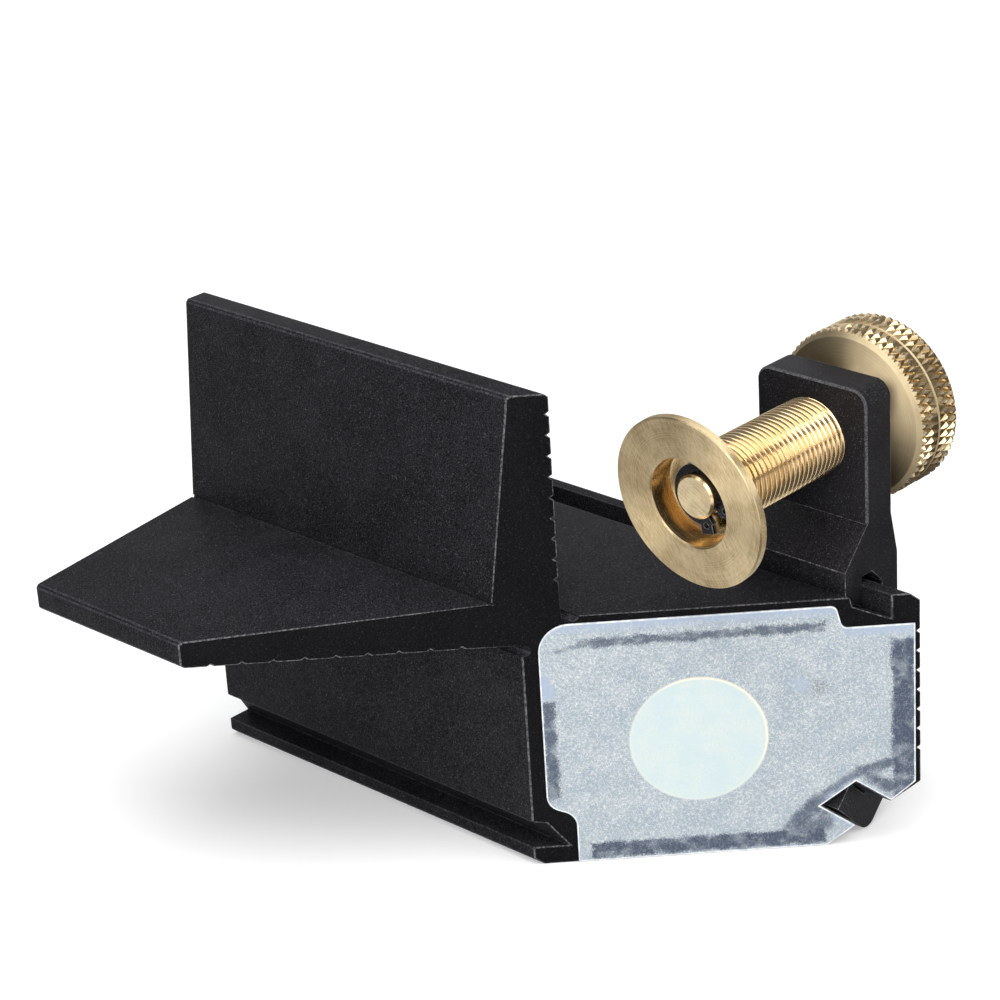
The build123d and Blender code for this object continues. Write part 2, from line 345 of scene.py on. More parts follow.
@dataclass(frozen=True)
class GroundBrass(Finish):
    """Brass rubbed on abrasive: long straight lines over the lathe's rings, and small pits."""

    centre: Vector
    tone: BrassTone = BrassTone((0.74, 0.60, 0.37), (0.42, 0.30, 0.15))
    line_grain: float = 0.13 * MM
    line_stretch: float = 45.0
    line_angle: float = 28.0
    line_depth: float = 0.018 * MM
    ring_grain: float = 0.22 * MM
    ring_share: float = 0.45
    pit: Colour = (0.86, 0.78, 0.6)
    pit_grain: float = 0.42 * MM
    roughness: float = 0.42
    stretch: float = 0.92

    def paint(self, shader: Shader) -> None:
        """Wires the finish."""
        centred, around, radius = shader.from_axis(self.centre)
        turned = shader.turned(centred, "X", math.radians(self.line_angle))
        straight = shader.vector("MULTIPLY", turned, (1, 1, 1 / self.line_stretch))
        lines = shader.noise(self.line_grain, detail=3.0, place=straight, roughness=0.65)
        arcs = shader.noise(self.ring_grain, detail=3.0, place=shader.join(radius), roughness=0.7)
        straight_share = shader.math("MULTIPLY", lines, 1 - self.ring_share)
        marks = shader.math("ADD", straight_share, shader.math("MULTIPLY", arcs, self.ring_share))
        stains = shader.noise(4.5 * MM, detail=3.0)
        drawn = shader.ramp(marks, 0.35, 0.65, -0.5, 0.5)
        share = shader.math("ADD", drawn, shader.spread(stains, 0.1, 0.6))
        pits = shader.ramp(shader.noise(self.pit_grain, detail=0.0), 0.86, 0.9)
        tone = shader.mix(share, self.tone.pale, self.tone.deep)
        shader.set("Base Color", shader.mix(pits, tone, self.pit))
        shader.set("Metallic", 1.0)
        rough = shader.ramp(marks, 0.35, 0.65, self.roughness - 0.06, self.roughness + 0.06)
        shader.set("Roughness", rough)
        shader.set("Anisotropic", self.stretch)
        shader.set("Tangent", shader.across_rings(around))
        shader.set("Normal", shader.bump(marks, self.line_depth))


@dataclass(frozen=True)
class KnurledBrass(Finish):
    """Brass pressed into pyramids, with painted shade that darkens it in the grooves."""

    centre: Vector
    root_radius: float
    crest_radius: float
    tone: BrassTone = BrassTone((0.88, 0.72, 0.48), (0.56, 0.40, 0.19))

    def paint(self, shader: Shader) -> None:
        """Wires the finish."""
        radius = shader.from_axis(self.centre)[2]
        # Painted shade: darker from the crests down into the grooves.
        depth = shader.ramp(radius, self.root_radius, self.crest_radius, 0.85, 0.1)
        scuffs = shader.noise(0.25 * MM, detail=3.0)
        share = shader.math("ADD", depth, shader.spread(scuffs, -0.15, 0.15), clamp=True)
        shader.set("Base Color", shader.mix(share, self.tone.pale, self.tone.deep))
        shader.set("Metallic", 1.0)
        shader.set("Roughness", shader.spread(scuffs, 0.14, 0.22))
        shader.set("Normal", shader.bump(scuffs, 0.002 * MM))


@dataclass(frozen=True)
class Streak:
    """A soft band on the film, in millimetres of the extrusion's section."""

    start: tuple[float, float]
    end: tuple[float, float]
    half_width: float
    strength: float = 1.0
    soft: float = 0.4
    blunt: bool = False


@dataclass(frozen=True)
class LiftedFilm(Finish):
    """Milky film stuck to black metal: matted fibres, dark lifted bands, a pale magnet with a painted
    highlight on its rim.
    """

    face_turn: float
    face_stretch: float
    magnet_at: tuple[float, float] = (21.8, -26.2)
    magnet_radius: float = 12.5
    stuck: Colour = (0.32, 0.38, 0.435)
    wisp: Colour = (0.70, 0.72, 0.70)
    lifted: Colour = (0.060, 0.080, 0.124)
    smooth: Colour = (0.37, 0.44, 0.56)
    magnet: Colour = (0.58, 0.67, 0.66)
    magnet_wisp: Colour = (0.71, 0.75, 0.71)
    magnet_cloud: Colour = (0.53, 0.65, 0.69)
    # Painted highlight on the magnet's rim.
    rim: Colour = (0.88, 0.82, 0.66)
    smudge: Colour = (0.22, 0.20, 0.21)
    smudge_at: tuple[float, float] = (37.2, -17.4)
    fibre_angles: tuple[float, ...] = (12.0, 71.0, 128.0)
    fibre_width: float = 0.21 * MM
    fibre_stretch: float = 4.5
    sway_grains: tuple[float, float] = (0.34, 0.3)
    dark_bands: tuple[Streak, ...] = (
        Streak((7.0, -5.4), (38.2, -5.2), 0.85, 0.85, 0.35, True),
        Streak((4.2, -6.5), (8.0, -5.5), 0.35, 0.6, 0.35),
        Streak((48.0, -8.6), (48.0, -41.0), 2.1, 1.0, 0.4, True),
        Streak((46.6, -33.6), (42.6, -35.0), 1.0, 0.9, 0.6),
        Streak((42.6, -35.0), (37.0, -40.0), 0.8, 0.75, 0.55),
        Streak((37.2, -40.4), (33.6, -46.0), 1.6, 0.9, 0.7),
        Streak((7.3, -47.9), (37.6, -48.0), 1.55, 1.0, 0.4, True),
        Streak((34.0, -46.8), (37.6, -45.6), 1.7, 0.85, 0.8),
        Streak((38.4, -42.4), (37.0, -44.6), 1.1, 0.7, 0.7),
        Streak((43.6, -36.2), (46.2, -38.8), 1.2, 0.9, 0.7),
        Streak((2.8, -17.0), (3.0, -36.8), 1.15, 0.92, 0.45, True),
    )
    smooth_bands: tuple[Streak, ...] = (
        Streak((3.4, -1.6), (39.4, -1.6), 1.25, 0.95, 0.95),
        Streak((41.4, -6.4), (49.2, -6.4), 1.1, 0.9, 0.8),
        Streak((48.9, -7.0), (48.9, -9.6), 0.9, 0.7, 0.6),
        Streak((2.4, -12.4), (2.8, -15.0), 1.3, 1.0, 0.7),
        Streak((34.6, -16.0), (35.2, -16.9), 1.2, 0.75, 1.0),
        Streak((41.2, -36.2), (38.2, -39.6), 0.6, 0.8, 0.4),
        Streak((39.0, -43.6), (41.0, -45.8), 0.9, 0.7, 0.7),
        Streak((3.0, -39.6), (6.2, -49.0), 0.8, 0.5, 0.6),
    )

    def face_place(self, shader: Shader) -> Socket:
        """Millimetres along the end face and up it, from the datum corner."""
        centred = shader.vector("SUBTRACT", shader.place, tuple(DATUM.corner()))
        parts = shader.node("ShaderNodeSeparateXYZ")
        shader.link(shader.turned(centred, "Z", self.face_turn), parts.inputs[0])
        return shader.join(*(shader.math("DIVIDE", parts.outputs[axis], MM) for axis in "XZ"))

    def band(self, shader: Shader, place: Socket, streak: Streak) -> Socket:
        """How strongly a streak shows at a place, from 0 to 1.

        Args:
            shader: The material's nodes.
            place: Millimetres on the end face.
            streak: The streak.

        Returns:
            The share, softened over its half width.
        """
        start = Vector((streak.start[0] * self.face_stretch, streak.start[1], 0))
        run = Vector((streak.end[0] * self.face_stretch, streak.end[1], 0)) - start
        offset = shader.vector("SUBTRACT", place, tuple(start))
        if streak.blunt:
            unit = run.normalized()
            across = shader.vector("DOT_PRODUCT", offset, (-unit.y, unit.x, 0))
            half = run.length / 2
            along = shader.math("SUBTRACT", shader.vector("DOT_PRODUCT", offset, tuple(unit)), half)
            past = shader.math("SUBTRACT", shader.math("ABSOLUTE", along), half - streak.half_width)
            distance = shader.math("MAXIMUM", shader.math("ABSOLUTE", across), past)
        else:
            shown = shader.vector("DOT_PRODUCT", offset, tuple(run))
            share = shader.math("DIVIDE", shown, run.length_squared, clamp=True)
            foot = shader.vector("SCALE", tuple(run), share)
            distance = shader.vector("LENGTH", shader.vector("SUBTRACT", offset, foot))
        low, high = streak.half_width - streak.soft, streak.half_width + streak.soft
        return shader.ramp(distance, low, high, streak.strength, 0.0)

    def bands(self, shader: Shader, place: Socket, streaks: tuple[Streak, ...]) -> Socket:
        """The strongest of several streaks."""
        shown = self.band(shader, place, streaks[0])
        for streak in streaks[1:]:
            shown = shader.math("MAXIMUM", shown, self.band(shader, place, streak))
        return shown

    def fibres(self, shader: Shader, place: Socket) -> Socket:
        """Short pale strands that cross in a few directions."""
        matted: Optional[Socket] = None
        for angle in self.fibre_angles:
            turned = shader.turned(place, "Z", math.radians(angle))
            drawn = shader.vector("MULTIPLY", turned, (1 / self.fibre_stretch, 1, 1))
            strand = shader.noise(self.fibre_width / MM, detail=2.0, place=drawn, roughness=0.6)
            matted = strand if matted is None else shader.math("MAXIMUM", matted, strand)
        return matted

    def paint(self, shader: Shader) -> None:
        """Wires the finish."""
        flat = self.face_place(shader)
        sway = []
        for grain in self.sway_grains:
            fine = shader.ramp(shader.noise(grain, place=flat, roughness=0.6), 0.2, 0.8, -0.42, 0.42)
            slow = shader.ramp(shader.noise(grain * 9, place=flat), 0.2, 0.8, -0.4, 0.4)
            sway.append(shader.math("ADD", fine, slow))
        moved = shader.vector("ADD", flat, shader.join(*sway))
        patches = shader.ramp(shader.noise(3.0, detail=5.0, place=flat), 0.46, 0.68, 1.0, 0.6)
        dark = shader.math("MULTIPLY", self.bands(shader, moved, self.dark_bands), patches)
        smooth = self.bands(shader, flat, self.smooth_bands)

        strands = self.fibres(shader, flat)
        clouds = shader.noise(4.5, detail=3.0, place=flat)
        drifts = shader.spread(clouds, -0.11, 0.11)
        wisps = shader.math("ADD", shader.ramp(strands, 0.50, 0.73), drifts, clamp=True)
        colour = shader.mix(wisps, self.stuck, self.wisp)
        smooth = shader.math("MULTIPLY", smooth, shader.ramp(wisps, 0.0, 1.0, 0.95, 0.7))
        dark = shader.math("MULTIPLY", dark, shader.ramp(wisps, 0.2, 1.0, 1.0, 0.76))
        colour = shader.mix(dark, shader.mix(smooth, colour, self.smooth), self.lifted)
        dots = shader.ramp(shader.noise(0.36, detail=1.0, place=flat), 0.44, 0.58)
        smudge = (self.smudge_at[0] * self.face_stretch, self.smudge_at[1], 0)
        smudged = shader.ramp(shader.vector("DISTANCE", moved, smudge), 0.4, 2.8, 0.8, 0.0)
        colour = shader.mix(shader.math("MULTIPLY", smudged, dots), colour, self.smudge)

        middle = (self.magnet_at[0] * self.face_stretch, self.magnet_at[1], 0)
        distance = shader.vector("DISTANCE", flat, middle)
        disc = shader.ramp(distance, self.magnet_radius - 0.2, self.magnet_radius + 0.3, 1.0, 0.0)
        # Painted highlight: a pale crescent on the magnet's rim, strongest towards its upper side.
        ring = shader.ramp(distance, self.magnet_radius - 0.6, self.magnet_radius - 0.15)
        side = shader.vector("DOT_PRODUCT", shader.vector("SUBTRACT", flat, middle), (0.05, 0.055, 0))
        ring = shader.math("MULTIPLY", ring, shader.ramp(side, 0.0, 0.6, 0.2, 0.95))
        tint = shader.mix(shader.ramp(strands, 0.48, 0.72, 0.0, 0.6), self.magnet, self.magnet_wisp)
        tint = shader.mix(shader.ramp(clouds, 0.35, 0.65, 0.0, 0.5), tint, self.magnet_cloud)
        shader.set("Base Color", shader.mix(disc, colour, shader.mix(ring, tint, self.rim)))
        shader.set("Roughness", shader.ramp(strands, 0.4, 0.75, 0.36, 0.5))
        shader.set("Specular IOR Level", 0.3)
        shader.set("Normal", shader.bump(strands, 0.008 * MM))


@dataclass(frozen=True)
class FilmEdge(Finish):
    """The film's cut edge, where the light comes out of the sheet."""

    tone: Colour = (0.86, 0.88, 0.91)
    burred: Colour = (0.62, 0.66, 0.72)

    def paint(self, shader: Shader) -> None:
        """Wires the finish."""
        burr = shader.noise(1.2 * MM, detail=3.0)
        shader.set("Base Color", shader.mix(shader.ramp(burr, 0.4, 0.6), self.tone, self.burred))
        shader.set("Roughness", 0.4)


@dataclass(frozen=True)
class PlatedSteel(Finish):
    """Nickel plate on a disc magnet, with small handling marks."""

    tone: Colour = (0.62, 0.61, 0.58)
    marked: Colour = (0.5, 0.49, 0.46)

    def paint(self, shader: Shader) -> None:
        """Wires the finish."""
        marks = shader.noise(0.8 * MM, detail=4.0)
        shader.set("Base Color", shader.mix(shader.spread(marks, 0.0, 1.0), self.tone, self.marked))
        shader.set("Metallic", 1.0)
        shader.set("Roughness", shader.spread(marks, 0.2, 0.34))


@dataclass(frozen=True)
class SpringSteel(Finish):
    """Black-oxide spring steel with a faint oily gloss."""

    name: str = "black_spring"
    tone: Colour = (0.004, 0.004, 0.005)
    # Paler steel for worn marks; the edge copy uses both colours as a painted highlight.
    worn_and_highlight: Colour = (0.018, 0.018, 0.021)

    def paint(self, shader: Shader) -> None:
        """Wires the finish."""
        marks = shader.noise(0.4 * MM, detail=3.0)
        shader.set("Base Color", shader.mix(shader.ramp(marks, 0.4, 0.75), self.tone, self.worn_and_highlight))
        shader.set("Roughness", shader.spread(marks, 0.22, 0.36))
        shader.set("Specular IOR Level", 0.16)
        shader.set("Normal", shader.bump(marks, 0.01 * MM))


class Bench:
    """Modelling moves that the sub-assemblies share."""

    SHARP = math.radians(32)

    @staticmethod
    def clear() -> None:
        """Deselects everything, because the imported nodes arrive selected."""
        bpy.ops.object.select_all(action="DESELECT")

    @classmethod
    def hold(cls, piece: Piece) -> None:
        """Makes one piece the selected and active one."""
        cls.clear()
        piece.select_set(True)
        bpy.context.view_layer.objects.active = piece

    @classmethod
    def edit(cls, piece: Piece, mode: str = "VERT") -> None:
        """Opens a piece in edit mode with nothing selected.

        Args:
            piece: The piece.
            mode: VERT, EDGE or FACE.
        """
        cls.hold(piece)
        bpy.ops.object.mode_set(mode="EDIT")
        bpy.ops.mesh.select_mode(type=mode)
        bpy.ops.mesh.select_all(action="DESELECT")

    @staticmethod
    def take_all() -> None:
        """Selects the whole mesh in edit mode."""
        bpy.ops.mesh.select_all(action="SELECT")

    @staticmethod
    def bake_place() -> None:
        """Puts the selected pieces' place, turn and size into their meshes."""
        bpy.ops.object.transform_apply(location=True, rotation=True, scale=True)

    @staticmethod
    def leave() -> None:
        """Goes back to object mode."""
        bpy.ops.object.mode_set(mode="OBJECT")

    @classmethod
    def pick(cls, piece: Piece, kind: str, test: Callable[[bpy.types.bpy_struct], bool]) -> None:
        """Selects a piece's vertices, edges or faces by a test, and opens it in edit mode.

        Args:
            piece: The piece.
            kind: VERT, EDGE or FACE.
            test: Says whether an element is wanted.
        """
        if piece.mode == "EDIT":
            cls.leave()
        mesh = piece.data
        groups = {"VERT": mesh.vertices, "EDGE": mesh.edges, "FACE": mesh.polygons}
        wanted = [element.index for element in groups[kind] if test(element)]
        cls.edit(piece, kind)
        cls.leave()
        for index in wanted:
            groups[kind][index].select = True
        bpy.ops.object.mode_set(mode="EDIT")

    @classmethod
    def apply(cls, piece: Piece) -> None:
        """Applies a piece's modifiers in order."""
        cls.hold(piece)
        for modifier in list(piece.modifiers):
            bpy.ops.object.modifier_apply(modifier=modifier.name)

    @classmethod
    def settle(
        cls, piece: Piece, place: Matrix = Matrix.Identity(4), sharp: Optional[float] = None
    ) -> None:
        """Puts a finished piece's place into its mesh and smooths it between sharp edges."""
        piece.matrix_world = place @ piece.matrix_world
        cls.hold(piece)
        cls.bake_place()
        bpy.ops.object.shade_smooth_by_angle(angle=sharp or cls.SHARP)

    @classmethod
    def stock(cls, node: str, name: str) -> Piece:
        """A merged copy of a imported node, with its flat faces whole.

        Args:
            node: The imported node.
            name: The copy's name.

        Returns:
            The copy, ready to be worked on.
        """
        piece = bpy.data.objects.new(name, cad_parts[node].data.copy())
        bpy.context.scene.collection.objects.link(piece)
        cls.edit(piece)
        cls.take_all()
        bpy.ops.mesh.remove_doubles(threshold=2e-6)
        bpy.ops.mesh.dissolve_limited(angle_limit=math.radians(0.6))
        cls.leave()
        bpy.ops.mesh.customdata_custom_splitnormals_clear()
        return piece

    @classmethod
    def turn(cls, name: str, profile: Profile, sides: int = 160, hollow: bool = False) -> Piece:
        """Turns a piece about X, as on a lathe, by extruding and scaling a ring.

        Args:
            name: The piece's name.
            profile: Pairs of place along X and radius.
            sides: Facets round the piece.
            hollow: Whether the profile is a closed loop off the axis.

        Returns:
            The turned piece, at its place along X, on the X axis.
        """
        first_x, first_radius = profile[0]
        cls.clear()
        bpy.ops.mesh.primitive_circle_add(
            vertices=sides,
            radius=first_radius,
            fill_type="NOTHING" if hollow else "NGON",
            rotation=(0, math.pi / 2, 0),
            location=(first_x, 0, 0),
        )
        piece = bpy.context.object
        piece.name = name
        cls.bake_place()
        bpy.ops.object.mode_set(mode="EDIT")
        bpy.ops.mesh.select_mode(type="EDGE" if hollow else "FACE")
        cls.take_all()
        stops = list(profile[1:]) + ([profile[0]] if hollow else [])
        extrude = bpy.ops.mesh.extrude_edges_move if hollow else bpy.ops.mesh.extrude_region_move
        last_x, last_radius = first_x, first_radius
        for x, radius in stops:
            extrude(TRANSFORM_OT_translate={"value": (x - last_x, 0, 0)})
            share = radius / last_radius
            bpy.ops.transform.resize(value=(1, share, share), center_override=(x, 0, 0))
            last_x, last_radius = x, radius
        cls.take_all()
        bpy.ops.mesh.remove_doubles(threshold=1e-6)
        bpy.ops.mesh.normals_make_consistent(inside=False)
        cls.leave()
        return piece

    @classmethod
    def close(cls, piece: Piece) -> None:
        """Fills a piece's open ends and turns its normals outward."""
        cls.edit(piece, "EDGE")
        cls.take_all()
        bpy.ops.mesh.fill_holes(sides=0)
        cls.take_all()
        bpy.ops.mesh.normals_make_consistent(inside=False)
        cls.leave()

    @staticmethod
    def dress(piece: Piece, *materials: Material) -> None:
        """Gives a piece its materials, in slot order."""
        piece.data.materials.clear()
        for material in materials:
            piece.data.materials.append(material)

    @staticmethod
    def cover(node: str, material: Material) -> None:
        """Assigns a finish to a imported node's material slots."""
        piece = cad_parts[node]
        if not piece.material_slots:
            piece.data.materials.append(material)
        for place in piece.material_slots:
            place.material = material

    @staticmethod
    def mount(piece: Piece, body: Body, slot: Slot, *nodes: str) -> None:
        """Puts a finished piece on its body, in place of the nodes it stands for."""
        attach(piece, body.value)
        if nodes:
            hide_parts(*nodes)
        LOG.info("%s rides on %s, %d faces", piece.name, body.value, len(piece.data.polygons))


# Paler finishes for broken edges: a painted highlight along each edge, with some edge wear. The long
# edges and the hollow at the fence's root get the duller one.
CUT_EDGE_WEAR_AND_HIGHLIGHT = BlastedAnodise(
    "cut_edge_wear_and_highlight", (0.018, 0.018, 0.021), (0.150, 0.147, 0.156), grain=0.5 * MM, gloss=0.3
)
LONG_EDGE_WEAR_AND_HIGHLIGHT = BlastedAnodise(
    "long_edge_wear_and_highlight", (0.009, 0.009, 0.011), (0.050, 0.048, 0.056), grain=0.4 * MM, gloss=0.2
)
# A darker copy of the anodise, which the mitred and square end faces wear.
DARKER_END = BlastedAnodise(
    "end_anodise",
    (0.0036, 0.0036, 0.0042),
    (0.0105, 0.0102, 0.0112),
    speck=(0.024, 0.024, 0.026),
    gloss=0.03,
)


@dataclass
class EdgedStock:
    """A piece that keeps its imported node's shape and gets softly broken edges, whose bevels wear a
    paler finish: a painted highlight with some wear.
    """

    node: str
    name: str
    body: Body
    slot: Slot
    finishes: tuple[Finish, ...]
    edge_break: float
    narrow: float
    sharp_angle: float = math.radians(25)

    def break_edges(self, piece: Piece) -> None:
        """Bevels the sharp edges whose neighbouring faces are wide enough."""
        mesh = piece.data
        beside: dict[tuple[int, int], list[Face]] = {}
        for face in mesh.polygons:
            for key in face.edge_keys:
                beside.setdefault(key, []).append(face)

        def length(key: tuple[int, int]) -> float:
            return (mesh.vertices[key[0]].co - mesh.vertices[key[1]].co).length

        def wide(face: Face) -> bool:
            return 2 * face.area / sum(map(length, face.edge_keys)) > self.narrow

        def wanted(edge: bpy.types.MeshEdge) -> bool:
            faces = beside.get(edge.key, [])
            if len(faces) != 2 or length(edge.key) < self.narrow:
                return False
            return faces[0].normal.angle(faces[1].normal) > self.sharp_angle and all(map(wide, faces))

        Bench.pick(piece, "EDGE", wanted)
        bpy.ops.mesh.bevel(
            offset=self.edge_break, segments=2, profile=0.6, clamp_overlap=False, material=1
        )
        Bench.leave()

    def finish_of(self, face: Face) -> int:
        """The material slot of a face, which the bevel has set to 1, the paler painted-highlight
        finish, on broken edges.
        """
        return face.material_index

    def build(self) -> None:
        """Makes and dresses the piece."""
        piece = Bench.stock(self.node, self.name)
        Bench.dress(piece, *(finish.build() for finish in self.finishes))
        self.break_edges(piece)
        for face in piece.data.polygons:
            face.material_index = self.finish_of(face)
        Bench.settle(piece)
        Bench.mount(piece, self.body, self.slot, self.node)


@dataclass
class Extrusion(EdgedStock):
    """The mitred guide body."""

    node: str = "guide_body"
    name: str = "guide_extrusion"
    body: Body = Body.GUIDE
    slot: Slot = Slot.GUIDE
    finishes: tuple[Finish, ...] = (BlastedAnodise(), CUT_EDGE_WEAR_AND_HIGHLIGHT, DARKER_END, LONG_EDGE_WEAR_AND_HIGHLIGHT)
    edge_break: float = 0.22 * MM
    narrow: float = 0.5 * MM
    fence_root: float = 8 * MM

    def beside_cut(self, point: Vector) -> bool:
        """Whether a point lies beside the mitred end or the square end."""
        offset = point - DATUM.corner()
        mitre = (offset.x + offset.y) / math.sqrt(2)
        return min(mitre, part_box(self.node)[1].y - point.y) < 1.5 * self.edge_break

    def finish_of(self, face: Face) -> int:
        """Darker on the ends; a duller painted highlight on long edges and in the hollow at the fence's
        root.
        """
        normal = face.normal
        mitred = abs(normal.x + normal.y) > 1.35
        if face.material_index == 0 and (mitred or normal.y > 0.99):
            return 2
        at_root = (face.center - DATUM.corner()).xz.length < self.fence_root
        hollow = at_root and normal.x < -0.25 and normal.z > 0.25
        if (face.material_index == 1 or hollow) and not self.beside_cut(face.center):
            return 3
        return face.material_index


@dataclass
class Bracket(EdgedStock):
    """The sliding clamp bracket, with a paler painted highlight on its broken edges and on the ear's
    sloping edges.
    """

    node: str = "clamp_bracket"
    name: str = "sliding_bracket"
    body: Body = Body.BRACKET
    slot: Slot = Slot.BRACKET
    finishes: tuple[Finish, ...] = (
        BlastedAnodise("bracket_anodise", light=(0.0255, 0.0245, 0.0280), gloss=0.12),
        # Paler copies of the edge finish: a painted highlight on the broken edges, and a dimmer one on
        # the ear's chamfers.
        replace(CUT_EDGE_WEAR_AND_HIGHLIGHT, name="bracket_edge_wear_and_highlight", light=(0.20, 0.195, 0.21)),
        replace(CUT_EDGE_WEAR_AND_HIGHLIGHT, name="ear_edge_highlight", light=(0.095, 0.092, 0.100), grain=0.32 * MM),
    )
    edge_break: float = 0.11 * MM
    narrow: float = 0.6 * MM
    ear_foot: float = 5.0 * MM
    chamfer_area: float = 20.0 * MM**2

    def finish_of(self, face: Face) -> int:
        """A paler finish on the ear's chamfers, which slope towards the pad: a painted highlight."""
        sloping = -0.85 < face.normal.x < -0.55 and face.area < self.chamfer_area
        above_foot = face.center.z > DATUM.corner().z + self.ear_foot
        return 2 if sloping and above_foot else face.material_index


@dataclass
class SpringRing(EdgedStock):
    """The retaining ring in the spigot's groove."""

    node: str = "retaining_ring"
    name: str = "spring_ring"
    body: Body = Body.RING
    slot: Slot = Slot.RING
    finishes: tuple[Finish, ...] = (
        SpringSteel(),
        # A pale copy of the steel on the bevels: a painted highlight along the ring's edges.
        SpringSteel("spring_edge_highlight", (0.11, 0.11, 0.12), (0.26, 0.26, 0.27)),
    )
    edge_break: float = 0.09 * MM
    narrow: float = 0.07 * MM


@dataclass
class EndFace:
    """A cut end: its disc magnet and its film."""

    end: str
    face_turn: float
    face_stretch: float
    normal: Vector = field(default_factory=lambda: Vector((0, 1, 0)))
    cut_margin: float = 0.24 * MM

    def build(self) -> None:
        """Dresses the magnet and builds the film."""
        Bench.cover(f"{self.end}_magnet", PlatedSteel(f"{self.end}_nickel").build())
        node = f"{self.end}_film"
        piece = Bench.stock(node, f"{self.end}_sheet")
        film = LiftedFilm(f"{self.end}_milky", self.face_turn, self.face_stretch).build()
        Bench.dress(piece, film, FilmEdge(f"{self.end}_edge").build())
        Bench.pick(piece, "FACE", lambda face: face.normal.dot(self.normal) > 0.9)
        bpy.ops.mesh.inset(thickness=self.cut_margin)
        Bench.leave()
        middles = {face.index for face in piece.data.polygons if face.select}
        for face in piece.data.polygons:
            stuck_side = face.normal.dot(self.normal) < -0.9
            face.material_index = 0 if face.index in middles or stuck_side else 1
        Bench.settle(piece)
        Bench.mount(piece, Body.GUIDE, Slot.FILM, node)


@dataclass
class Thread:
    """Right-hand thread on the clamp screw, drawn as a ridge round the shank."""

    pitch: float = 1.28 * MM
    crest_radius: float = 7.4 * MM
    root_radius: float = 6.61 * MM
    sunk: float = 0.3 * MM
    crest_width: float = 0.26 * MM
    crest_round: float = 0.12 * MM
    flank: float = math.radians(30)
    widest_share: float = 1.04
    steps: int = 96

    def build(self, name: str, start: float, end: float) -> Piece:
        """Winds the ridge.

        Args:
            name: The piece's name.
            start: Place along X where the thread starts.
            end: Place along X where it ends.

        Returns:
            The ridge on the X axis.
        """
        height = self.crest_radius - self.root_radius + self.sunk
        base = self.crest_width + 2 * height * math.tan(self.flank)
        base = min(base, self.pitch * self.widest_share)
        Bench.clear()
        bpy.ops.mesh.primitive_plane_add(size=1, location=(0, 0, 0))
        ridge = bpy.context.object
        ridge.name = name
        Bench.edit(ridge)
        Bench.take_all()
        bpy.ops.transform.resize(value=(base, height, 1), center_override=(0, 0, 0))
        Bench.pick(ridge, "VERT", lambda vertex: vertex.co.y > 0)
        bpy.ops.transform.resize(value=(self.crest_width / base, 1, 1), center_override=(0, 0, 0))
        bpy.ops.mesh.bevel(offset=self.crest_round, segments=3, affect="VERTICES")
        Bench.take_all()
        bpy.ops.transform.translate(value=(start, self.crest_radius - height / 2, 0))
        bpy.ops.mesh.delete(type="ONLY_FACE")
        Bench.leave()
        winding = ridge.modifiers.new("winding", "SCREW")
        winding.axis = "X"
        winding.screw_offset = self.pitch
        winding.iterations = max(1, int((end - start) / self.pitch))
        winding.steps = self.steps
        winding.render_steps = self.steps
        winding.use_smooth_shade = True
        Bench.apply(ridge)
        Bench.close(ridge)
        return ridge


